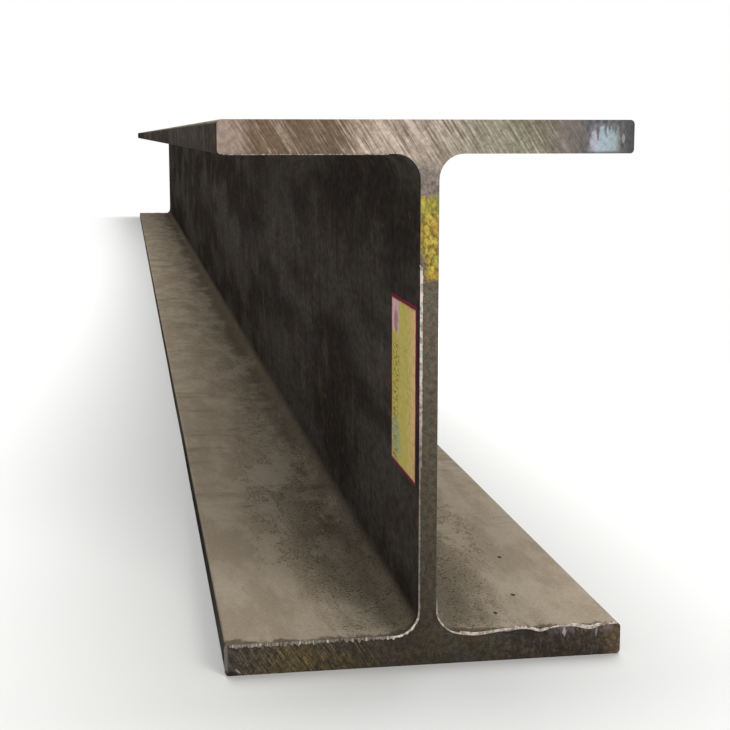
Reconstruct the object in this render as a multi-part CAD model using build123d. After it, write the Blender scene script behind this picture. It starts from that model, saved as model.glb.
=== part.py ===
from build123d import *
import os

# A hot-rolled H-beam in one stock length, lying on its lower flange.
# X runs across the flanges, Y along the length, Z up.
# The origin is under the middle of the lower flange, and every size is in mm.

# Rolled section
section_depth = 400.0
flange_width = 300.0
web_thickness = 13.5
flange_thickness = 24.0
root_radius = 18.0
toe_radius = 3.0

# Stock length, sawn square at both ends
beam_length = 6000.0

# Paper stock label on the left face of the web, close behind the front end
label_height = 134.0
label_length = 102.0
label_thickness = 0.3
label_setback = 10.0

# Places that follow from the sizes above
mid_height = section_depth / 2
clear_depth = section_depth - 2 * flange_thickness
front_end = -beam_length / 2


def rolled_section():
    """The H outline: two parallel flanges on a web, filleted at the roots and eased at the toes."""
    lower_flange = (0, flange_thickness / 2)
    upper_flange = (0, section_depth - flange_thickness / 2)
    root_limit = (web_thickness + flange_width) / 4
    with BuildSketch(Plane.XZ) as section:
        with Locations((0, mid_height)):
            Rectangle(web_thickness, clear_depth)
        with Locations(lower_flange, upper_flange):
            Rectangle(flange_width, flange_thickness)
        roots = section.vertices().filter_by(lambda corner: abs(corner.X) < root_limit)
        fillet(roots, root_radius)
        toes = section.vertices().filter_by(lambda corner: abs(corner.X) > flange_width / 2 - toe_radius)
        fillet(toes, toe_radius)
    return section.sketch


def h_beam():
    """The rolled bar, run half its length each way from the middle."""
    return extrude(rolled_section(), amount=beam_length / 2, both=True)


def stock_label():
    """A rectangle of thick paper that lies flat against the web at mid-height."""
    label_x = -(web_thickness + label_thickness) / 2
    label_y = front_end + label_setback + label_length / 2
    return Pos(label_x, label_y, mid_height) * Box(label_thickness, label_length, label_height)


parts = {
    "h_beam": h_beam(),
    "stock_label": stock_label(),
}

os.makedirs("parts", exist_ok=True)
for name, solid in parts.items():
    solid.label = name
    export_step(solid, f"parts/{name}.step")
    print(name, "volume", round(solid.volume / 1000, 1), "cm3")
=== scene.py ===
import bisect
import math
import random

import bmesh
import bpy
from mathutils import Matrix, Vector, noise


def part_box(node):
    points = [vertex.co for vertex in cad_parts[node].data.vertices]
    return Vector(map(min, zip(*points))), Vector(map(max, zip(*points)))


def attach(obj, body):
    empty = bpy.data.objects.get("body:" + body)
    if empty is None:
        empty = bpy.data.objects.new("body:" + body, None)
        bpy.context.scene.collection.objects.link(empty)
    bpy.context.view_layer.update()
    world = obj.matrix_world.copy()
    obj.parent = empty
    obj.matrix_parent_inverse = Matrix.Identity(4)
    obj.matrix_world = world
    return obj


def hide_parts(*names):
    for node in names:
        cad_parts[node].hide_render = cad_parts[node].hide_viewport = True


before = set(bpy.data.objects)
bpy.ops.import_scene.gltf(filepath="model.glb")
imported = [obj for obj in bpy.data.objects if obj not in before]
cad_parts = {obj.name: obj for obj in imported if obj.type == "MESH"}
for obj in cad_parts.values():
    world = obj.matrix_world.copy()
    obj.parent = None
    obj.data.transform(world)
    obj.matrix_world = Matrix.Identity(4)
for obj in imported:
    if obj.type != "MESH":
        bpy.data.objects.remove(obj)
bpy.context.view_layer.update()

# The rolled bar: one piece of structural steel, two parallel flanges on a web, with filleted roots and
# eased toes. It is rolled hot and sawn square, so its long faces are dark mill scale under yard dust and
# its ends are scored bare steel. Here it is pulled up out of a slab, flange, web and flange in turn.

bar_low, bar_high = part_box("h_beam")
length = bar_high.y - bar_low.y
width = bar_high.x - bar_low.x
depth = bar_high.z - bar_low.z
half_length = length / 2
half_width = width / 2
web_thickness = 0.0135
flange_thickness = 0.024
root_radius = 0.018
root_segments = 8
toe_radius = 0.003
toe_segments = 3
ledge = flange_thickness
ceiling = depth - flange_thickness
clear_depth = depth - 2 * flange_thickness
outstand = (width - web_thickness) / 2
shortest_straight = 4 * root_radius
straight_cuts = 7
end_margin = 0.02
tiny = 1e-5


def start_block(name, size, centre):
    """Adds a block at its size and place as a new piece, with its object at the origin."""
    bpy.ops.object.select_all(action="DESELECT")
    bpy.ops.mesh.primitive_cube_add(size=1, location=centre, scale=size)
    piece = bpy.context.object
    piece.name = name
    piece.data.name = name
    bpy.ops.object.transform_apply(location=True, rotation=True, scale=True)
    return piece


def pick(kind, test):
    """In edit mode, selects only the faces or edges that pass the test."""
    bpy.ops.mesh.select_mode(type=kind)
    bpy.ops.mesh.select_all(action="DESELECT")
    mesh = bpy.context.object.data
    shape = bmesh.from_edit_mesh(mesh)
    for element in shape.faces if kind == "FACE" else shape.edges:
        if not element.hide and test(element):
            element.select = True
    bmesh.update_edit_mesh(mesh, loop_triangles=False)


def middle(edge):
    """The middle point of an edge."""
    return (edge.verts[0].co + edge.verts[1].co) / 2


def runs_along(edge):
    """True for an edge that runs along the bar."""
    start, end = edge.verts
    return abs(start.co.y - end.co.y) > tiny


def extrude(*move):
    """Pulls what is selected out by a move in metres."""
    bpy.ops.mesh.extrude_region_move(TRANSFORM_OT_translate={"value": move})


def cut(place, normal):
    """Cuts everything that shows along a plane."""
    bpy.ops.mesh.select_all(action="SELECT")
    bpy.ops.mesh.bisect(plane_co=place, plane_no=normal)


def is_web_seat(face):
    """True for the strip on top of the slab that the web grows from."""
    return face.normal.z > 0.5 and abs(face.calc_center_median().x) < web_thickness / 2


def is_end(face, side):
    """True for the flat face of one end of the bar."""
    return face.normal.y * side > 0.5 and abs(face.calc_center_median().y - side * half_length) < tiny


def is_flange_root(face, side):
    """True for the upright face that one half of the upper flange grows from."""
    return face.normal.x * side > 0.5 and face.calc_center_median().z > ceiling


def is_root(edge):
    """True for the four long edges where the web meets the flanges."""
    spot = middle(edge)
    return runs_along(edge) and ledge - tiny < spot.z < ceiling + tiny and abs(spot.x) < web_thickness


def is_toe(edge):
    """True for the eight long edges at the tips of the flanges."""
    return runs_along(edge) and abs(middle(edge).x) > half_width - tiny


bar = start_block("h_beam_rolled", (width, length, flange_thickness), (0, 0, flange_thickness / 2))
bpy.ops.object.mode_set(mode="EDIT")
for side in (-1, 1):
    cut((side * web_thickness / 2, 0, 0), (1, 0, 0))
pick("FACE", is_web_seat)
extrude(0, 0, clear_depth)
extrude(0, 0, flange_thickness)
for side in (-1, 1):
    pick("FACE", lambda face: is_flange_root(face, side))
    extrude(side * outstand, 0, 0)
bpy.ops.mesh.select_all(action="SELECT")
bpy.ops.mesh.dissolve_limited(angle_limit=math.radians(1))
pick("EDGE", is_root)
bpy.ops.mesh.bevel(offset=root_radius, segments=root_segments, affect="EDGES", clamp_overlap=False)
pick("EDGE", is_toe)
bpy.ops.mesh.bevel(offset=toe_radius, segments=toe_segments, affect="EDGES", clamp_overlap=False)
pick("EDGE", lambda edge: not runs_along(edge) and edge.calc_length() > shortest_straight)
bpy.ops.mesh.subdivide(number_cuts=straight_cuts)
for side in (-1, 1):
    cut((0, side * (half_length - end_margin), 0), (0, 1, 0))

# The blade leaves slanting scores on the ends, deep on the thick flanges and faint on the web. They are
# cut into the end as lines, and the points of the lines are then pushed in by small depths.

score_slope = math.radians(57)
score_pitch = 0.001
cross_pitch = 0.005
score_depth = 0.0005
low_score = 0.45
ripple_length = 0.012
flange_bite = 0.85
web_bite = 0.3
smeared_bite = 0.3
smeared_from = 0.1
toe_bite = 0.1
toe_band = 0.012
bite_patches = 22
across = Vector((math.sin(score_slope), 0, math.cos(score_slope)))
along = Vector((math.cos(score_slope), 0, -math.sin(score_slope)))


def spaced(reach, pitch, rng):
    """Unevenly spaced places from -reach to reach."""
    places = []
    place = -reach
    while place < reach:
        places.append(place)
        place += pitch * rng.uniform(0.6, 1.5)
    return places


def bite(spot, side):
    """How hard the blade scored a spot of the end, from 0 to 1."""
    on_web = abs(spot.z - depth / 2) < clear_depth / 2 - root_radius
    strength = web_bite if on_web else flange_bite
    if side < 0 and spot.z > depth / 2 and spot.x < toe_band - half_width:
        strength = toe_bite
    if side < 0 and spot.z > depth / 2 and spot.x > smeared_from:
        strength = smeared_bite
    patch = noise.noise(Vector((spot.x * bite_patches, side, spot.z * bite_patches)))
    return strength * (0.75 + 0.5 * patch)


def saw_end(side, seed):
    """Scores one sawn end of the bar. side is -1 for the front end and 1 for the back end."""
    rng = random.Random(seed)
    centre = Vector((0, side * half_length, depth / 2))
    reach = half_width * across.x + depth / 2 * across.z + score_pitch
    span = half_width * along.x - depth / 2 * along.z + cross_pitch
    scores = spaced(reach, score_pitch, rng)
    levels = [(number % 2) * low_score + rng.uniform(0, 0.55) ** 2 for number in range(len(scores))]
    pick("FACE", lambda face: is_end(face, side))
    bpy.ops.mesh.hide(unselected=True)
    for score in scores:
        cut(centre + across * score, across)
    for place in spaced(span, cross_pitch, rng):
        cut(centre + along * place, along)
    shape = bmesh.from_edit_mesh(bpy.context.object.data)
    layers = shape.verts.layers.float
    sunk = layers.get("sunk") or layers.new("sunk")
    for vertex in shape.verts:
        if vertex.hide:
            continue
        spot = vertex.co - centre
        score = spot.dot(across) + tiny
        number = bisect.bisect(scores, score) - 1
        share = (score - scores[number]) / (scores[number + 1] - scores[number])
        level = levels[number] * (1 - share) + levels[number + 1] * share
        ripple = noise.noise(Vector((score / score_pitch / 4, spot.dot(along) / ripple_length, side)))
        level *= bite(vertex.co, side) * (1 + 0.7 * ripple)
        vertex[sunk] = level
        vertex.co.y -= side * level * score_depth
    bpy.ops.mesh.reveal(select=False)


for side, seed in ((-1, 3), (1, 8)):
    saw_end(side, seed)

# The rolls leave the flange tips and the inner faces very slightly wavy along the length. The bar is
# divided into short bays, and its corners are moved inwards by a fraction of a millimetre.

bay = 0.025
tip_wave = 0.0006
face_wave = 0.0004

pick("EDGE", lambda edge: runs_along(edge) and abs(middle(edge).y) < half_length - end_margin)
bpy.ops.mesh.subdivide(number_cuts=round((length - 2 * end_margin) / bay) - 1)
bpy.ops.object.mode_set(mode="OBJECT")
upright = [vertex.normal.z for vertex in bar.data.vertices]
for vertex, lean in zip(bar.data.vertices, upright):
    spot = vertex.co.copy()
    tip = (abs(spot.x) / half_width) ** 4
    swell = noise.noise(Vector((math.copysign(5, spot.x), spot.y * 3, round(spot.z / depth) * 7)))
    vertex.co.x -= math.copysign(tip_wave * tip * (0.5 + 0.5 * swell), spot.x)
    if ledge - tiny < spot.z < ceiling + tiny and abs(lean) > 0.5:
        roll = noise.noise(Vector((spot.x * 12, spot.y * 2.5, spot.z * 9)))
        vertex.co.z -= math.copysign(face_wave * (0.5 + 0.5 * roll), lean)
bpy.ops.object.shade_smooth_by_angle(angle=math.radians(35))


def shade(red, green, blue):
    """A colour as it is seen, from 0 to 255, as the light that a finish gives back."""
    return (*(((value / 255 + 0.055) / 1.055) ** 2.4 for value in (red, green, blue)), 1)


class Socket:
    """A value inside a tree of nodes. Arithmetic on it adds the Math nodes that work it out."""

    def __init__(self, nodes, output):
        self.nodes = nodes
        self.output = output

    def __add__(self, other):
        return self.nodes.math("ADD", self, other)

    def __sub__(self, other):
        return self.nodes.math("SUBTRACT", self, other)

    def __rsub__(self, other):
        return self.nodes.math("SUBTRACT", other, self)

    def __mul__(self, other):
        return self.nodes.math("MULTIPLY", self, other)

    def __abs__(self):
        return self.nodes.math("ABSOLUTE", self)

    __radd__ = __add__
    __rmul__ = __mul__


class Nodes:
    """A tree of nodes, of a finish or of the world behind the bar."""

    def __init__(self, tree):
        self.tree = tree

    def node(self, kind, settings, inputs, output=0):
        """Adds a node, sets it, fills its sockets and returns one of its outputs."""
        made = self.tree.nodes.new(kind)
        for name, value in settings.items():
            if name == "stops":
                while len(made.color_ramp.elements) < len(value):
                    made.color_ramp.elements.new(1)
                for element, (position, colour) in zip(made.color_ramp.elements, value):
                    element.position = position
                    element.color = colour
            else:
                setattr(made, name, value)
        self.fill(made, inputs)
        return Socket(self, made.outputs[output])

    def fill(self, node, inputs):
        """Gives sockets of a node their values or links."""
        for name, value in inputs.items():
            if isinstance(value, Socket):
                self.tree.links.new(value.output, node.inputs[name])
            else:
                node.inputs[name].default_value = value

    def math(self, operation, *values):
        """What one Math node works out."""
        return self.node("ShaderNodeMath", {"operation": operation}, dict(enumerate(values)))


class Finish(Nodes):
    """One material: patterns laid out in metres on the piece, which end in a Principled shader."""

    def __init__(self, name):
        self.data = bpy.data.materials.new(name)
        self.data.use_nodes = True
        super().__init__(self.data.node_tree)
        self.shader = self.tree.nodes["Principled BSDF"]
        self.place = self.node("ShaderNodeTexCoord", {}, {}, "Object")
        numbers = (self.node("ShaderNodeSeparateXYZ", {}, {0: self.place}, axis) for axis in "XYZ")
        self.x, self.y, self.z = numbers

    def joined(self, x, y, z=0.0):
        """A vector made of three numbers."""
        return self.node("ShaderNodeCombineXYZ", {}, {0: x, 1: y, 2: z})

    def vector(self, operation, first, second):
        """What one Vector Math node works out from two vectors."""
        return self.node("ShaderNodeVectorMath", {"operation": operation}, {0: first, 1: second})

    def patches(self, place, size, detail=3.0, roughness=0.5):
        """Soft random patches, from 0 to 1. size is their width in metres along X, Y and Z."""
        grown = self.vector("MULTIPLY", place, tuple(1 / number for number in size))
        inputs = {"Vector": grown, "Scale": 1.0, "Detail": detail, "Roughness": roughness}
        return self.node("ShaderNodeTexNoise", {}, inputs)

    def over(self, value, low, high):
        """0 where a value is under low, 1 where it is over high, and smooth between."""
        inputs = {"Value": value, "From Min": low, "From Max": high}
        return self.node("ShaderNodeMapRange", {"interpolation_type": "SMOOTHSTEP"}, inputs)

    def under(self, value, low, high):
        """1 where a value is under low, 0 where it is over high, and smooth between."""
        return 1 - self.over(value, low, high)

    def spot(self, place, centre, size, ragged=0.0):
        """1 in a soft-edged daub about a centre and 0 away from it. ragged bends its edge."""
        offset = self.vector("SUBTRACT", place, centre)
        grown = self.vector("MULTIPLY", offset, tuple(1 / number for number in size))
        return self.under(self.size_of(grown) + ragged, 0.7, 1.0)

    def ramp(self, stops, value):
        """The colour that a value from 0 to 1 picks out of a row of colours."""
        return self.node("ShaderNodeValToRGB", {"stops": stops}, {0: value})

    def mix(self, mask, colour, other):
        """A colour where the mask is 0, and the other where it is 1."""
        return self.node("ShaderNodeMix", {"data_type": "RGBA"}, {0: mask, 6: colour, 7: other}, 2)

    def lit(self, colour, amount):
        """A colour made darker or lighter by an amount."""
        return self.node("ShaderNodeVectorMath", {"operation": "SCALE"}, {0: colour, "Scale": amount})

    def size_of(self, vector):
        """The length of a vector."""
        return self.node("ShaderNodeVectorMath", {"operation": "LENGTH"}, {0: vector}, "Value")

    def relief(self, height, distance):
        """A surface raised by a height from 0 to 1, over a distance in metres."""
        return self.node("ShaderNodeBump", {}, {"Height": height, "Distance": distance})


# The long faces are brown-black mill scale with rust and water stains, under a coat of pale site dust on
# what faces up. The dust is thin and spotted next to the web, and smooth out towards the flange tips.

scale_black = shade(50, 46, 44)
scale_grey = shade(74, 70, 66)
scale_brown = shade(62, 53, 47)
rust = shade(104, 72, 50)
stain_black = shade(34, 31, 28)
dust_pale = shade(178, 165, 145)
dust_brown = shade(162, 148, 128)
dust_thin = shade(116, 108, 92)
dust_spot = shade(74, 64, 50)
pits = ((0.062, 0.038), (0.087, 0.080), (0.103, 0.184))  # across the bar and behind its front end
pit_size = (0.0019, 0.0036, 0.003)
skin_relief = 0.0005


class RolledFinish(Finish):
    """The finish of the long faces, with the patterns that the scale and the dust share."""

    def __init__(self, name):
        super().__init__(name)
        self.outwards = abs(self.x)
        self.behind = self.y + half_length
        self.broad = self.patches(self.place, (0.12, 0.6, 0.12), 4, 0.6)
        self.patch = self.patches(self.place, (0.035, 0.12, 0.035), 5, 0.65)
        self.mottle = self.patches(self.place, (0.007, 0.016, 0.007), 4, 0.65)
        self.fine = self.patches(self.place, (0.0018, 0.003, 0.0018), 3, 0.7)
        self.on_top = self.over(self.z, depth / 2, depth * 0.75)

    def scale(self):
        """Bare mill scale, browner in patches, with rust, water stains and a film of dust."""
        rusty = self.patches(self.place, (0.02, 0.05, 0.02), 5, 0.7)
        stain = self.patches(self.place, (0.16, 0.022, 0.16), 4, 0.6)
        film = self.patches(self.joined(self.x, self.y, self.z * 0.4), (0.03, 0.07, 0.03), 4, 0.6)
        tone = self.mix(self.over(self.broad, 0.4, 0.62), scale_black, scale_grey)
        tone = self.mix(self.over(self.patch, 0.48, 0.64) * 0.55, tone, scale_brown)
        tone = self.mix(self.over(rusty, 0.6, 0.72) * 0.55, tone, rust)
        tone = self.mix(self.over(stain, 0.54, 0.68) * 0.3, tone, stain_black)
        tone = self.mix(self.over(film, 0.5, 0.72) * 0.18, tone, dust_thin)
        return self.lit(tone, 0.8 + 0.35 * self.over(self.mottle, 0.35, 0.65))

    def thin(self):
        """Where the dust is thin: beside the web, but not at the very end, where it was brushed."""
        near_end = self.under(self.behind + 0.3 * self.patch, 0.35, 0.6)
        reach = 0.052 + 0.03 * near_end
        uneven = 0.09 * (self.patch - 0.5) + 0.05 * (self.mottle - 0.5)
        thin = self.under(self.outwards + uneven, reach * 0.3, reach)
        brushed = self.under(self.behind + 0.02 * (self.patch - 0.5), 0.008, 0.03)
        brushed = brushed * self.over(self.outwards, 0.022, 0.03)
        return thin * (1 - self.on_top) * (1 - 0.7 * brushed)

    def spots(self):
        """Dark dots that show through the dust beside the web."""
        spotted = self.under(self.outwards + 0.16 * (self.patch - 0.5), 0.045, 0.10) * (1 - self.on_top)
        dots = self.patches(self.place, (0.0022, 0.0029, 0.0022), 2, 0.6)
        return self.over(dots + 0.6 * (self.mottle - 0.5), 0.54, 0.66) * spotted

    def bands(self):
        """Darker bands across the dust, farther along the bar."""
        wave = 0.035 * self.patches(self.place, (0.05, 0.2, 0.05), 3, 0.5)
        band = self.patches(self.joined(self.x * 0.4, self.y + wave, self.z), (0.05, 0.05, 0.05), 5, 0.7)
        return self.over(band, 0.52, 0.64) * self.over(self.behind, 0.2, 0.32)

    def painted_end_shadow(self):
        """A dark line in the dust along both ends: painted shadow behind the lip of the burr."""
        uneven = 0.03 * (self.mottle - 0.5) + 0.02 * (self.patch - 0.5)
        return self.under(half_length - abs(self.y) + uneven, 0.002, 0.008)

    def tide(self):
        """Thin dark lines where puddles dried near the front end."""
        line = self.under(abs(self.patch + 0.35 * (self.mottle - 0.5) - 0.5), 0.004, 0.018)
        near = self.over(self.behind, 0.12, 0.2) * self.under(self.behind, 0.5, 0.8)
        return line * near * self.under(self.outwards, 0.09, 0.12)

    def dust(self):
        """The coat of dust, with all that lies in it."""
        tone = self.mix(self.over(self.patch, 0.4, 0.62), dust_brown, dust_pale)
        tone = self.mix(self.thin() * 0.85, tone, dust_thin)
        tone = self.mix(self.spots() * 0.72, tone, dust_spot)
        # A painted shadow along both ends of the dust, behind the burr.
        tone = self.mix(self.painted_end_shadow() * 0.7, tone, dust_spot)
        tone = self.mix(self.bands() * 0.4, tone, dust_thin)
        tone = self.mix(self.tide() * 0.5, tone, dust_spot)
        for pit_x, pit_behind in pits:
            centre = (pit_x, pit_behind - half_length, ledge)
            pit = self.spot(self.place, centre, pit_size, self.mottle - 0.5)
            tone = self.mix(pit * 0.85, tone, stain_black)
        tone = self.lit(tone, 0.9 + 0.2 * self.over(self.fine, 0.3, 0.7))
        # Painted shade: the dust is made darker from 6 cm to 30 cm behind the front end, and stays so along
        # the bar.
        return self.lit(tone, 1 - 0.17 * self.over(self.behind, 0.06, 0.3))

    def cover(self):
        """How much of the scale the dust hides: nearly all of it low down, and less on top."""
        facing = self.node("ShaderNodeNewGeometry", {}, {}, "Normal")
        upward = self.over(self.node("ShaderNodeSeparateXYZ", {}, {0: facing}, "Z"), 0.1, 0.75)
        uneven = self.patch + 0.4 * (self.mottle - 0.5) + 0.5 * (self.broad - 0.5)
        worn = self.on_top * (0.12 + 0.42 * self.over(uneven, 0.42, 0.7))
        return upward * (0.95 - worn)


def rolled_finish():
    skin = RolledFinish("mill_scale")
    cover = skin.cover()
    skin.fill(skin.shader, {
        "Base Color": skin.mix(cover, skin.scale(), skin.dust()),
        "Roughness": 0.62 + 0.3 * cover + 0.3 * (skin.mottle - 0.5),
        "Specular IOR Level": 0.0,
        "Normal": skin.relief(0.6 * skin.fine + 0.4 * skin.mottle, skin_relief),
    })
    return skin.data


# The sawn ends are cut steel that has gone brown: strong pale and brown streaks along the scores of the
# upper flange, grey grain on the web and dark bronze on the lower flange. Each end grows darker from its
# top to its foot, partly as painted shade. The front end also has a daub of yellow paint on the web, a pale
# smear on the upper flange and a chipped lower corner, whose notch is painted shade.

streak_pale = shade(224, 208, 192)
streak_brown = shade(78, 62, 46)
upper_tones = (
    (0.0, shade(153, 135, 124)),
    (0.05, shade(150, 131, 117)),
    (0.08, shade(112, 92, 70)),
    (0.29, shade(108, 90, 71)),
    (0.35, shade(174, 156, 138)),
    (0.5, shade(172, 157, 142)),
    (0.6, shade(148, 140, 122)),
    (0.72, shade(130, 126, 104)),
    (0.82, shade(118, 108, 98)),
    (0.86, shade(92, 87, 83)),
    (0.89, shade(66, 72, 77)),
    (1.0, shade(66, 68, 68)),
)
# The web's tones darken from its top to its foot, partly as painted shade.
web_tones = (
    (0.0, shade(57, 50, 38)),
    (0.12, shade(57, 51, 39)),
    (0.26, shade(64, 57, 44)),
    (0.48, shade(83, 76, 62)),
    (0.64, shade(95, 87, 73)),
    (0.8, shade(112, 102, 90)),
    (0.89, shade(139, 126, 117)),
    (0.94, shade(160, 146, 133)),
)
smear_tones = (
    (0.0, shade(150, 152, 166)),
    (0.3, shade(190, 190, 202)),
    (0.42, shade(176, 197, 209)),
    (0.6, shade(172, 189, 196)),
    (0.85, shade(164, 177, 173)),
)
smear_low_x = 0.110
smear_width = 0.035
hair_size = (0.0006, 0.016, 1)
streak_size = (0.0017, 0.04, 1)
sweep_size = (0.007, 0.06, 1)
fine_line_size = (0.0008, 0.012, 1)
front_y = -half_length
sawn_metallic = 0.15
sawn_relief = 0.0003


class SawnFinish(Finish):
    """The finish of a sawn end, with the patterns that its flanges and its web share."""

    def __init__(self, name, marked):
        super().__init__(name)
        self.marked = marked
        self.grain = self.patches(self.place, (0.0011, 0.0011, 0.0011), 3, 0.7)
        self.mottle = self.patches(self.place, (0.004, 0.004, 0.004), 4, 0.65)
        self.blotch = self.patches(self.place, (0.03, 0.03, 0.03), 4, 0.6)
        from_score = self.x * across.x + self.z * across.z + 0.0012 * (self.blotch - 0.5)
        scored = self.joined(from_score, self.x * along.x + self.z * along.z)
        self.hair = self.patches(scored, hair_size, 2, 0.6)
        self.streak = self.patches(scored, streak_size, 3, 0.55)
        self.sweep = self.patches(scored, sweep_size, 2, 0.55)
        self.sunk = self.node("ShaderNodeAttribute", {"attribute_name": "sunk"}, {}, "Fac")

    def upper_flange(self):
        """Strong pale and brown streaks, which fade out at the left toe and beside the smear."""
        strong = 1.0
        if self.marked:
            slanted = self.x + 0.4 * (self.z - depth)
            strong = self.over(slanted, 0.004 - half_width, 0.010 - half_width)
            strong = strong * (1 - 0.6 * self.over(self.x, 0.09, 0.104))
            strong = strong * (1 - 0.8 * self.over(self.x, 0.107, 0.113))
        right_part = self.over(self.x, 0.015, 0.045)
        calm = (1 - 0.5 * self.under(self.x, -0.075, -0.045)) * (1 - 0.35 * right_part)
        line = self.streak + 0.6 * (self.hair - 0.5) + 0.5 * (self.sweep - 0.5)
        smudge = self.patches(self.place, (0.009, 1, 0.006), 4, 0.65)
        smudge = self.over(smudge, 0.5, 0.62) * right_part
        tone = self.ramp(upper_tones, (self.x + 0.008 * (self.sweep - 0.5)) * (1 / width) + 0.5)
        tone = self.mix(self.over(line, 0.5, 0.68) * calm * strong * 0.55, tone, streak_pale)
        tone = self.mix(self.under(line, 0.34, 0.5) * calm * strong * 0.6, tone, streak_brown)
        tone = self.mix(self.over(self.blotch, 0.52, 0.7) * 0.25, tone, streak_brown)
        tone = self.mix(smudge * 0.35, tone, shade(98, 94, 80))
        rough = 0.78 + 0.6 * (self.grain - 0.5) + 0.5 * self.over(self.mottle, 0.3, 0.7)
        # Painted shade: the scores are darker where they are sunk deeper.
        return self.lit(tone, rough - 0.2 * self.sunk)

    def web(self):
        """Grey-brown grain that darkens downwards, partly as painted shade, with soft upright runs and fine
        slanting lines.
        """
        flow = self.patches(self.place, (0.005, 1, 0.035), 3, 0.55)
        slant = self.patches(self.joined(self.x + self.z, self.x - self.z), fine_line_size, 2, 0.6)
        tone = self.ramp(web_tones, self.z * (1 / depth) + 0.04 * (self.mottle - 0.5))
        tone = self.mix(self.over(self.blotch, 0.5, 0.66) * 0.3, tone, shade(70, 60, 42))
        tone = self.mix(self.over(flow, 0.48, 0.62) * 0.3, tone, shade(98, 76, 58))
        tone = self.mix(self.under(flow, 0.38, 0.5) * 0.25, tone, shade(84, 86, 72))
        rough = 0.4 + 0.5 * self.over(self.mottle, 0.34, 0.66) + 0.42 * self.over(self.grain, 0.34, 0.66)
        # Painted shade: the scores are darker where they are sunk deeper.
        return self.lit(tone, rough + 0.3 * self.over(slant, 0.5, 0.64) - 0.15 * self.sunk)

    def lower_flange(self):
        """Dark bronze, partly as painted shade: golden crossed scores on the left, cool in the middle and
        fibrous on the right.
        """
        line = self.hair + 0.5 * (self.streak - 0.5)
        gold = self.over(line, 0.5, 0.62) * self.under(self.x, -0.09, -0.01)
        golden = self.mix(self.over(self.x, -0.135, -0.112), shade(100, 92, 76), shade(122, 108, 72))
        crossed = self.joined(self.z * across.z - self.x * across.x, self.z * along.z - self.x * along.x)
        hatch = self.over(self.patches(crossed, fine_line_size, 2, 0.6), 0.52, 0.62)
        hatch = hatch * self.over(self.x, -0.146, -0.136) * self.under(self.x, -0.1, -0.07)
        tone = self.mix(self.over(self.blotch, 0.42, 0.62), shade(50, 43, 33), shade(60, 51, 39))
        tone = self.mix(self.under(line, 0.36, 0.48) * 0.45, tone, shade(40, 34, 25))
        tone = self.mix(hatch * 0.4, tone, shade(116, 102, 72))
        tone = self.mix(gold * 0.75, tone, golden)

        tint = self.patches(self.place, (0.045, 1, 0.03), 3, 0.6)
        warm = self.over(self.x, -0.105, -0.08) * self.under(self.x, -0.058, -0.042)
        tone = self.mix(self.over(tint, 0.46, 0.62) * (0.15 + 0.4 * warm), tone, shade(92, 70, 30))
        tone = self.mix(self.under(tint, 0.38, 0.48) * 0.3, tone, shade(60, 54, 58))
        cool = self.over(self.patches(self.place, (0.02, 1, 0.03), 3, 0.6), 0.46, 0.58)
        cool = cool * self.over(self.x, -0.005, 0.02) * self.under(self.x, 0.055, 0.075)
        tone = self.mix(cool * 0.4, tone, shade(62, 64, 56))

        right_part = self.over(self.x, 0.05, 0.07)
        fibre = self.patches(self.place, (0.0036, 1, 0.010), 4, 0.65)
        fibre = self.over(fibre + 0.4 * (self.mottle - 0.5), 0.46, 0.64) * self.over(self.x, 0.045, 0.07)
        tone = self.lit(tone, 1 - 0.3 * right_part)
        tone = self.mix(fibre * 0.45, tone, shade(90, 75, 64))
        # Painted shade: the right of the lower flange is darkened just under its burr.
        shade_under_burr = self.over(self.z + 0.006 * (self.mottle - 0.5), 0.015, 0.021) * right_part
        tone = self.lit(tone, 1 - 0.35 * shade_under_burr)
        right_toe = self.over(self.x + 0.3 * self.z + 0.01 * (self.mottle - 0.5), 0.136, 0.148)
        tone = self.mix(right_toe * 0.55, tone, shade(102, 84, 62))
        rough = 0.3 + 0.75 * self.over(self.mottle, 0.36, 0.64) + 0.65 * self.over(self.grain, 0.36, 0.64)
        # Painted shade: the scores are darker where they are sunk deeper.
        return self.lit(tone, rough - 0.2 * self.sunk)

    def with_chip(self, tone):
        """The paler band at the left toe of the lower flange, and the chip at its lower corner, painted as
        a dark spot of shade, with a bright lip.
        """
        uneven = 0.0008 * (self.grain - 0.5) + 0.003 * (self.mottle - 0.5)
        toe = self.under(self.x + uneven, 0.0016 - half_width, 0.0030 - half_width)
        toe = toe * self.over(self.z, 0.003, 0.005) * self.under(self.z, 0.022, 0.025)
        tone = self.mix(toe * 0.75, tone, shade(120, 117, 112))
        centre, size = (-0.1447, front_y, 0.0012), (0.0036, 1, 0.0027)
        # Painted shade: the chip is not cut, its notch is painted as a near-black spot.
        chip = self.spot(self.place, centre, size, 1.6 * (self.mottle - 0.5))
        tone = self.mix(chip * 0.85, tone, shade(20, 17, 12))
        tilted = self.joined(self.x + self.z, self.x - self.z)
        centre, size = (-0.1373, -0.1437, 0), (0.0014, 0.0042, 1)
        lip = self.spot(tilted, centre, size, 1.2 * (self.grain - 0.5))
        return self.mix(lip * 0.8, tone, shade(156, 150, 138))

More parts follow.
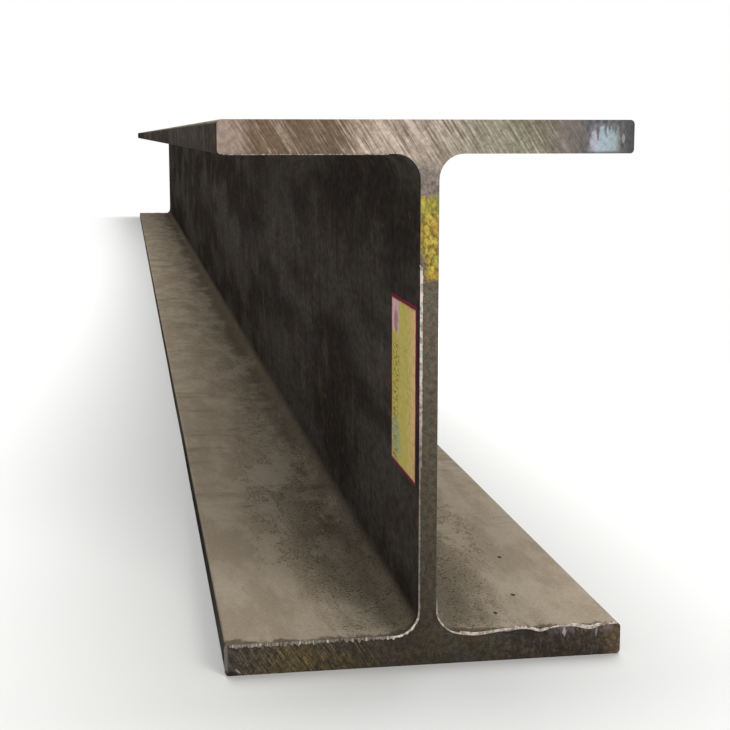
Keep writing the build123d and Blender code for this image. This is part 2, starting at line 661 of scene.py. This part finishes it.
    def with_ticks(self, tone):
        """Two short pale ticks in a grey haze, under the burr of the lower flange."""
        haze = self.over(self.patches(self.place, (0.003, 1, 0.008), 3, 0.6), 0.4, 0.6)
        haze = haze * self.over(self.z + 0.004 * (self.mottle - 0.5), 0.0160, 0.0215)
        haze = haze * self.over(self.x, 0.088, 0.098) * self.under(self.x, 0.141, 0.147)
        tone = self.mix(haze * 0.6, tone, shade(124, 112, 110))
        ragged = 2.0 * (self.mottle - 0.5) + 2.4 * (self.grain - 0.5)
        tick = self.spot(self.place, (0.1055, front_y, 0.0210), (0.0016, 1, 0.0040), ragged)
        tone = self.mix(tick * 0.6, tone, shade(196, 186, 188))
        tick = self.spot(self.place, (0.1306, front_y, 0.0188), (0.0010, 1, 0.0036), ragged)
        return self.mix(tick * 0.28, tone, shade(196, 186, 188))

    def with_smear(self, tone):
        """The pale smear on the right of the upper flange, with drips along its top, and a glint."""
        drip = self.patches(self.place, (0.0026, 1, 0.009), 3, 0.6)
        edge = self.x + 0.005 * (drip - 0.5) + 0.004 * (self.mottle - 0.5)
        smear = self.over(edge, 0.1140, 0.1185) * self.under(edge, 0.1350, 0.1405)
        smear = smear * self.under(self.z + 0.012 * (drip - 0.5), depth - 0.005, depth - 0.001)
        smear = smear * self.over(self.z, ceiling, ceiling + 0.003)
        gap = self.over(0.5 - drip + 22 * (self.z - depth + 0.011), 0.04, 0.16)
        centre, size = (0.1224, front_y, depth - 0.009), (0.0013, 1, 0.006)
        slit = self.spot(self.place, centre, size, self.mottle - 0.5)
        cloudy = 0.7 + 0.3 * self.over(self.mottle, 0.36, 0.6)
        smear = smear * (1 - 0.8 * gap) * (1 - 0.8 * slit) * cloudy
        hue = self.ramp(smear_tones, (self.x - smear_low_x) * (1 / smear_width))
        tone = self.mix(smear * 0.82, tone, hue)
        centre, size = (0.1415, front_y, depth - 0.013), (0.0014, 1, 0.0042)
        glint = self.spot(self.place, centre, size, self.mottle - 0.5)
        return self.mix(glint * 0.45, tone, shade(170, 176, 176))

    def daub(self):
        """Where the daub of paint lies on the web: ragged, worn, and narrower at its lower end."""
        ragged = 0.012 * (self.blotch - 0.5) + 0.01 * (self.mottle - 0.5)
        daub = self.over(self.z + ragged, 0.286, 0.289) * self.under(self.z + ragged, 0.344, 0.347)
        narrow = self.over(self.x + ragged, -0.004, -0.001)
        daub = daub * (1 - (1 - narrow) * self.under(self.z, 0.300, 0.310))
        bare = self.over(self.mottle + 0.7 * (self.grain - 0.5), 0.56, 0.74)
        return daub * (1 - 0.5 * bare) * (1 - 0.4 * self.over(abs(self.x), 0.0045, 0.0066))

    def paint(self):
        """Flecked yellow paint, orange and green in patches."""
        fleck = self.patches(self.place, (0.0034, 1, 0.0044), 4, 0.65)
        tone = self.mix(self.over(fleck, 0.36, 0.66), shade(94, 78, 18), shade(206, 184, 76))
        tone = self.mix(self.over(self.blotch, 0.46, 0.6) * 0.5, tone, shade(168, 128, 42))
        return self.mix(self.under(self.blotch, 0.4, 0.5) * 0.4, tone, shade(134, 138, 50))


def sawn_finish(name, marked):
    """The finish of a sawn end. marked is true for the end with the paint, the smear and the chip."""
    sawn = SawnFinish(name, marked)
    low_edge = sawn.z + 0.01 * (sawn.sweep - 0.5)
    on_upper = sawn.over(low_edge, ceiling - 0.014, ceiling + 0.001)
    on_lower = sawn.under(sawn.z, ledge + 0.004, ledge + 0.03)
    tone = sawn.mix(on_upper, sawn.web(), sawn.upper_flange())
    tone = sawn.mix(on_lower, tone, sawn.lower_flange())
    metallic = sawn_metallic
    if marked:
        tone = sawn.with_smear(sawn.with_ticks(sawn.with_chip(tone)))
        daub = sawn.daub()
        tone = sawn.mix(daub, tone, sawn.paint())
        metallic = sawn_metallic * (1 - daub)
    sawn.fill(sawn.shader, {
        "Base Color": tone,
        "Roughness": 0.5 + 0.25 * sawn.grain + 0.1 * sawn.mottle,
        "Metallic": metallic,
        "Specular IOR Level": 0.3,
        "Normal": sawn.relief(0.5 * sawn.hair + 0.3 * sawn.grain + 0.2 * sawn.mottle, sawn_relief),
    })
    return sawn.data


bar.data.materials.append(rolled_finish())
bar.data.materials.append(sawn_finish("sawn_steel_front", True))
bar.data.materials.append(sawn_finish("sawn_steel_back", False))
for face in bar.data.polygons:
    at_end = abs(face.center.y) > half_length - 2 * score_depth and abs(face.normal.y) > 0.2
    face.material_index = (1 if face.center.y < 0 else 2) if at_end else 0

# The bar's own map gives each sawn end a large square and lays the long faces out in six lanes: the
# lower and the upper side of each flange, and then the left and the right side of the web.

map_edge = 0.005
end_map = 0.49
lane_gap = 0.004
lane_length = 0.98
lane_low = end_map * width / depth + 0.02
lane_scale = (0.99 - lane_low - 6 * lane_gap) / (4 * width + 2 * depth)
flange_lane = width * lane_scale + lane_gap
web_lane = depth * lane_scale + lane_gap


def end_place(spot, end):
    """Where a spot of a sawn end is on the map. end is 0 for the front end and 1 for the back end."""
    return (
        map_edge + end * 0.5 + spot.z / depth * end_map,
        map_edge + (spot.x + half_width) / depth * end_map,
    )


def lane_place(spot, flat, upper, outer):
    """Where a spot of a long face is on the map, from which face it is on."""
    if flat:
        over_lanes = (2 * upper + outer) * flange_lane + (spot.x + half_width) * lane_scale
    else:
        over_lanes = 4 * flange_lane + outer * web_lane + spot.z * lane_scale
    return (0.5 + lane_length * spot.y / length, lane_low + over_lanes)


chart = bar.data.uv_layers.new(name="OFBake")
for face in bar.data.polygons:
    flat = abs(face.normal.z) > abs(face.normal.x)
    upper = face.center.z > depth / 2
    outer = face.normal.z > 0 if flat else face.normal.x > 0
    for loop in face.loop_indices:
        spot = bar.data.vertices[bar.data.loops[loop].vertex_index].co
        if face.material_index:
            chart.data[loop].uv = end_place(spot, face.material_index - 1)
        else:
            chart.data[loop].uv = lane_place(spot, flat, upper, outer)
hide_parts("h_beam")
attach(bar, "root")

# The burr of the saw: where the blade broke through, a thin frill of bright steel stands up from the rim
# of the end. It is the bar's own steel, bent out by the teeth, so it follows the rim, torn here and there,
# and in places it is folded back over the sawn face.

frill_thickness = 0.0004
frill_stand_off = 0.0003
tooth_pitch = 420
shortest_rise = 0.15
web_face = web_thickness / 2
root_end = web_face + root_radius
on_ledge = (ledge - 0.001, ledge + 0.001)
on_ceiling = (ceiling - 0.001, ceiling + 0.001)
low_root = (ledge - 0.001, 0.05)
left_web = (-0.008, -0.005)


class Frill:
    """One stretch of the burr: where it is, how high it stands and how torn it is.

    One with a height below 0 is folded over the sawn face."""

    def __init__(self, span_x, span_z, height, torn):
        self.span_x = span_x
        self.span_z = span_z
        self.height = height
        self.torn = torn

    def holds(self, x, z):
        return self.span_x[0] <= x <= self.span_x[1] and self.span_z[0] <= z <= self.span_z[1]


frills = (
    Frill((-0.151, -0.147), (0.003, ledge), 0.0005, 0.9),
    Frill((-0.147, -root_end), on_ledge, -0.0027, 0.9),
    Frill((-root_end, -0.005), low_root, -0.0016, 0.4),
    Frill(left_web, (0.05, 0.15), -0.0012, 0.4),
    Frill(left_web, (0.15, 0.298), -0.0020, 0.2),
    Frill((0.005, root_end), low_root, 0.0010, 0.2),
    Frill((root_end, 0.063), on_ledge, 0.0019, 0.15),
    Frill((0.063, 0.079), on_ledge, 0.0021, 1.1),
    Frill((0.079, 0.092), on_ledge, 0.0018, 0.25),
    Frill((0.092, 0.110), on_ledge, 0.0011, 0.7),
    Frill((0.110, 0.133), on_ledge, 0.0023, 0.15),
    Frill((0.133, 0.1465), on_ledge, 0.0013, 1.0),
    Frill((-0.146, -0.03), on_ceiling, 0.0007, 0.2),
)
# Each sag of the burr has its middle across the bar, its drop and its spread.
sags = ((0.038, 0.0030, 0.016), (0.062, 0.0010, 0.004), (0.087, 0.0029, 0.007), (0.125, 0.0031, 0.008))


def sag_at(spot, side):
    """How far the burr of the ledge hangs down over the sawn end at a spot."""
    if spot.z > ledge + 0.004:
        return 0
    place = -side * spot.x
    return sum(drop * math.exp(-(((place - centre) / spread) ** 2)) for centre, drop, spread in sags)


def frill_at(spot, side):
    """The frill at a spot of the rim, or None. The back end's burr is turned left for right."""
    return next((frill for frill in frills if frill.holds(-side * spot.x, spot.z)), None)


def is_rim(edge, side):
    """True for an edge where a sawn end meets a rolled face, at one end of the bar."""
    ends = sum(abs(face.normal.y) > 0.2 for face in edge.link_faces)
    return ends == 1 and middle(edge).y * side > half_length - 2 * score_depth


def corner_key(spot):
    """A spot of the rim, rounded so that it can be found again."""
    return round(spot.x, 5), round(spot.z, 5)


def edit_alone(piece):
    """Selects one piece alone and opens it in edit mode."""
    bpy.ops.object.select_all(action="DESELECT")
    piece.select_set(True)
    bpy.context.view_layer.objects.active = piece
    bpy.ops.object.mode_set(mode="EDIT")


def raise_burr(name, side):
    """Makes the burr of one end from the bar's own rim."""
    edit_alone(bar)
    pick("EDGE", lambda edge: is_rim(edge, side) and frill_at(middle(edge), side))
    rng = random.Random(side)
    out = {}
    for vertex in bmesh.from_edit_mesh(bar.data).verts:
        if vertex.select:
            skin = [face.normal for face in vertex.link_faces if abs(face.normal.y) < 0.2]
            out[corner_key(vertex.co)] = sum(skin, Vector()).normalized()
    bpy.ops.mesh.duplicate()
    bpy.ops.mesh.separate(type="SELECTED")
    bpy.ops.object.mode_set(mode="OBJECT")
    burr = next(piece for piece in bpy.context.selected_objects if piece != bar)
    burr.name = name
    burr.data.name = name
    burr.data.materials.clear()
    edit_alone(burr)
    bpy.ops.mesh.select_all(action="SELECT")
    bpy.ops.mesh.extrude_region_move()
    shape = bmesh.from_edit_mesh(burr.data)
    for vertex in sorted(shape.verts, key=lambda vertex: corner_key(vertex.co)):
        spot = vertex.co.copy()
        frill = frill_at(spot, side) or frills[-1]
        if vertex.select:
            tooth = noise.noise(Vector((spot.x * tooth_pitch, side * 4, spot.z * tooth_pitch)))
            rise = 1 - frill.torn * rng.uniform(0, 0.5) + 1.2 * frill.torn * tooth
            rise += 260 * sag_at(spot, side) * (0.5 + noise.noise(Vector((spot.x * 90, 2, 3))))
            vertex.co += out[corner_key(spot)] * frill.height * max(shortest_rise, rise)
            vertex.co.y += side * abs(frill.height) * (0.3 + 0.4 * frill.torn * rng.uniform(-1, 1))
        vertex.co += Vector((0, side * frill_stand_off, -sag_at(spot, side)))
    bpy.ops.mesh.select_all(action="SELECT")
    bpy.ops.mesh.normals_make_consistent(inside=False)
    bpy.ops.object.mode_set(mode="OBJECT")
    wall = burr.modifiers.new("wall", "SOLIDIFY")
    wall.thickness = frill_thickness
    wall.offset = 0
    bpy.ops.object.modifier_apply(modifier="wall")
    bpy.ops.object.shade_smooth_by_angle(angle=math.radians(50))
    return burr


def burr_finish():
    """Bright torn steel, duller on the web, under the upper flange and at the toe, and darkened on the left
    ledge as painted shade.
    """
    metal = Finish("bright_burr")
    mottle = metal.patches(metal.place, (0.004, 0.004, 0.004), 4, 0.65)
    tone = metal.mix(metal.over(mottle, 0.36, 0.58), shade(148, 132, 116), shade(222, 210, 200))
    dull = metal.over(metal.z, 0.03, 0.05) * metal.under(metal.z, 0.14, 0.24) * 0.8
    dull = dull + metal.over(metal.z, 0.36, 0.37) * 0.6 + metal.under(metal.x, -0.1485, -0.1475) * 0.6
    tone = metal.mix(dull, tone, shade(88, 82, 70))
    from_middle = metal.x * metal.y
    # Painted shade: the burr on the left ledge is darkened, with small brighter gaps.
    left_ledge_shade = metal.over(from_middle, 0.06, 0.09) * metal.under(metal.z, 0.03, 0.04)
    glint = metal.over(metal.patches(metal.place, (0.0026, 1, 1), 2, 0.5), 0.52, 0.6)
    tone = metal.mix(left_ledge_shade * (0.85 - 0.5 * glint), tone, shade(104, 99, 90))
    beads = metal.under(metal.patches(metal.place, (0.0014, 1, 1), 2, 0.5), 0.44, 0.54)
    tone = metal.mix(beads * metal.over(from_middle, 0.075, 0.1) * 0.8, tone, shade(84, 74, 60))
    metal.fill(metal.shader, {
        "Base Color": tone,
        "Roughness": 0.3 + 0.3 * mottle,
        "Metallic": 0.2,
        "Specular IOR Level": 0.3,
    })
    return metal.data


bright = burr_finish()
for name, side in (("saw_burr_front", -1), ("saw_burr_back", 1)):
    burr = raise_burr(name, side)
    burr.data.materials.append(bright)
    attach(burr, "root")

# The stock label: a printed paper label, stuck by hand on the web close behind the sawn end. Its border
# is crimson and its field is yellow, worn paler where the print has rubbed off, and it has no words.

label_low, label_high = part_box("stock_label")
label_height = label_high.z - label_low.z
label_length = label_high.y - label_low.y
label_rows = 44
label_columns = 34
paper_thickness = 0.0002
crease_height = 0.0002
ripple_height = 0.00008
label_crimson = shade(106, 22, 42)
label_yellow = shade(170, 159, 80)
label_relief = 0.00015
rule_pitch = 0.0065

bpy.ops.object.select_all(action="DESELECT")
bpy.ops.mesh.primitive_grid_add(
    x_subdivisions=label_rows,
    y_subdivisions=label_columns,
    size=1,
    location=(label_low.x, (label_low.y + label_high.y) / 2, (label_low.z + label_high.z) / 2),
    rotation=(0, -math.pi / 2, 0),
)
label = bpy.context.object
label.scale = (label_height, label_length, 1)
label.name = "stock_label_sheet"
label.data.name = label.name
bpy.ops.object.transform_apply(location=True, rotation=True, scale=True)
for vertex in label.data.vertices:
    spot = vertex.co
    crease = noise.noise(Vector((1, spot.y * 30, spot.z * 30)))
    ripple = noise.noise(Vector((7, spot.y * 110, spot.z * 110)))
    vertex.co.x -= crease_height * crease + ripple_height * ripple
    vertex.co.z += 0.0006 * ripple
    vertex.co.y += 0.0004 * crease
wall = label.modifiers.new("paper", "SOLIDIFY")
wall.thickness = paper_thickness
wall.offset = -1
bpy.ops.object.modifier_apply(modifier="paper")
bpy.ops.object.shade_smooth_by_angle(angle=math.radians(30))


class LabelFinish(Finish):
    """The finish of the label, with the distances from its edges."""

    def __init__(self, name):
        super().__init__(name)
        self.mottle = self.patches(self.place, (0.006, 0.006, 0.006), 4, 0.65)
        self.blotch = self.patches(self.place, (0.03, 0.03, 0.03), 3, 0.6)
        self.speck = self.patches(self.place, (0.0016, 0.0016, 0.0016), 3, 0.6)
        self.marks = self.patches(self.place, (1, 0.009, 0.0021), 2, 0.5)
        self.from_front = self.y - label_low.y
        self.from_back = label_high.y - self.y
        self.from_low = self.z - label_low.z
        self.from_high = label_high.z - self.z

    def field(self):
        """The yellow field, warmer towards the front, with the column of a rubbed-off mark at its back."""
        tone = self.mix(self.under(self.from_front, 0.006, 0.05), label_yellow, shade(196, 158, 112))
        tone = self.mix(self.over(self.blotch, 0.45, 0.6) * 0.4, tone, shade(178, 172, 96))
        column = self.under(self.from_back + 0.01 * (self.mottle - 0.5), 0.030, 0.036)
        column = column * self.under(self.from_high, 0.025, 0.032)
        return self.mix(column * 0.85, tone, shade(192, 154, 166))

    def with_stains(self, tone):
        """A plum smudge in the upper back corner and a blue-green stain in the lower one."""
        ragged = self.mottle - 0.5
        centre, size = (label_low.x, label_high.y - 0.020, label_high.z - 0.020), (1, 0.009, 0.012)
        smudge = self.spot(self.place, centre, size, 1.1 * ragged)
        tone = self.mix(smudge * 0.6, tone, shade(112, 66, 86))
        centre, size = (label_low.x, label_high.y - 0.020, label_low.z + 0.022), (1, 0.026, 0.018)
        stain = self.spot(self.place, centre, size, 2.4 * ragged)
        return self.mix(stain * 0.6, tone, shade(134, 152, 128))

    def with_print(self, tone):
        """What is left of the print: broken rules, specks and a row of faint dashes at the back."""
        rule = self.math("PINGPONG", self.from_low - 0.030, rule_pitch)
        ruled = self.under(rule, 0.0003, 0.0007) * self.over(self.speck, 0.4, 0.55)
        ruled = ruled * self.over(self.from_low, 0.02, 0.028) * self.over(self.from_high, 0.036, 0.040)
        tone = self.mix(ruled * 0.25, tone, shade(112, 104, 48))
        specks = self.over(self.speck + 0.6 * (self.blotch - 0.5), 0.56, 0.66)
        tone = self.mix(specks * 0.3, tone, shade(92, 82, 46))
        tone = self.mix(self.under(self.mottle, 0.36, 0.5) * 0.3, tone, shade(150, 134, 66))
        dashes = self.over(self.marks, 0.5, 0.58) * self.over(self.from_back, 0.005, 0.010)
        dashes = dashes * self.under(self.from_back + 0.02 * (self.blotch - 0.5), 0.022, 0.038)
        dashes = dashes * self.over(self.from_high, 0.030, 0.040)
        return self.mix(dashes * 0.6, tone, shade(78, 52, 34))

    def with_border(self, tone):
        """The crimson border, with a pale line inside it."""
        inset = self.math("MINIMUM", self.from_front - 0.001, self.from_back)
        inset = self.math("MINIMUM", inset, self.from_high)
        inset = self.math("MINIMUM", inset, self.from_low + 0.001) + 0.0014 * (self.mottle - 0.5)
        tone = self.mix(self.under(inset, 0.0040, 0.0052) * 0.5, tone, shade(190, 150, 140))
        return self.mix(self.under(inset, 0.0028, 0.0042), tone, label_crimson)


def label_finish():
    paper = LabelFinish("printed_paper")
    tone = paper.lit(paper.with_print(paper.with_stains(paper.field())), 1.46)
    paper.fill(paper.shader, {
        "Base Color": paper.lit(paper.with_border(tone), 0.85 + 0.3 * paper.mottle),
        "Roughness": 0.6 + 0.3 * paper.mottle,
        "Specular IOR Level": 0.05,
        "Normal": paper.relief(0.5 * paper.mottle + 0.5 * paper.speck, label_relief),
    })
    return paper.data


label.data.materials.append(label_finish())
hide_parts("stock_label")
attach(label, "root")

# The floor, the light and the camera: a pale floor that fades to white away from the bar, soft lamps from
# the front right and from above, and a camera where the photograph was taken, a metre before the sawn
# end and just under the bar's top.

floor_size = 120
fade_start = 0.08
fade_end = 0.75
far_narrowing = 2
world_light = 0.4
white = (1, 1, 1, 1)


def background_rays(nodes):
    """1 for the rays that see the background as plain white: the camera's, and those of gloss and glass."""
    kinds = ("Is Camera Ray", "Is Glossy Ray", "Is Transmission Ray")
    direct, glossy, through = (nodes.node("ShaderNodeLightPath", {}, {}, kind) for kind in kinds)
    return nodes.math("MAXIMUM", nodes.math("MAXIMUM", direct, glossy), through)


def floor_finish():
    """A pale matt floor near the bar, and plain white away from it, where the shadow ends."""
    ground = Finish("pale_floor")
    beside = ground.math("MAXIMUM", abs(ground.x) - half_width, 0)
    beyond = ground.math("MAXIMUM", abs(ground.y) - half_length, 0)
    narrowed = 1 + far_narrowing * ground.over(ground.y, -half_length / 2, half_length)
    away = ground.size_of(ground.joined(beside * narrowed, beyond * narrowed))
    fade = ground.over(away, fade_start, fade_end)
    ground.fill(ground.shader, {
        "Base Color": shade(232, 232, 230),
        "Roughness": 0.9,
        "Specular IOR Level": 0.1,
    })
    plain = Socket(ground, ground.shader.outputs[0])
    glow = ground.node("ShaderNodeEmission", {}, {"Color": white})
    blend = ground.node("ShaderNodeMixShader", {}, {0: background_rays(ground) * fade, 1: plain, 2: glow})
    ground.fill(ground.tree.nodes["Material Output"], {"Surface": blend})
    return ground.data


bpy.ops.object.select_all(action="DESELECT")
bpy.ops.mesh.primitive_plane_add(size=floor_size, location=(0, 0, 0))
floor = bpy.context.object
floor.name = "floor"
floor.data.materials.append(floor_finish())

world = bpy.data.worlds.new("studio")
bpy.context.scene.world = world
world.use_nodes = True
studio = Nodes(world.node_tree)
strength = world_light + (1 - world_light) * background_rays(studio)
studio.fill(world.node_tree.nodes["Background"], {"Color": white, "Strength": strength})


def lamp(name, place, aim, size, power):
    """A soft square lamp that points at a spot."""
    bpy.ops.object.light_add(type="AREA", location=place)
    made = bpy.context.object
    made.name = name
    made.data.size = size
    made.data.energy = power
    made.rotation_euler = (Vector(aim) - Vector(place)).to_track_quat("-Z", "Y").to_euler()


lamp("front_lamp", (1.4, -6.0, 2.0), (0, -half_length, depth / 2), 1.6, 64)
lamp("top_lamp", (0.4, 0, 4.0), (0, 0, 0), 5.0, 340)

image_width = 730
focal_pixels = 1450
camera_place = Vector((-0.212, -half_length - 1.01, 0.389))
camera_yaw = math.radians(9.3)
camera_pitch = math.radians(-9.0)
bpy.ops.object.camera_add(location=camera_place, rotation=(math.pi / 2 + camera_pitch, 0, -camera_yaw))
camera = bpy.context.object
camera.data.sensor_width = 36
camera.data.lens = focal_pixels * camera.data.sensor_width / image_width
camera.data.clip_start = 0.01
camera.data.clip_end = 200
bpy.context.scene.camera = camera
bpy.context.scene.view_settings.view_transform = "Standard"
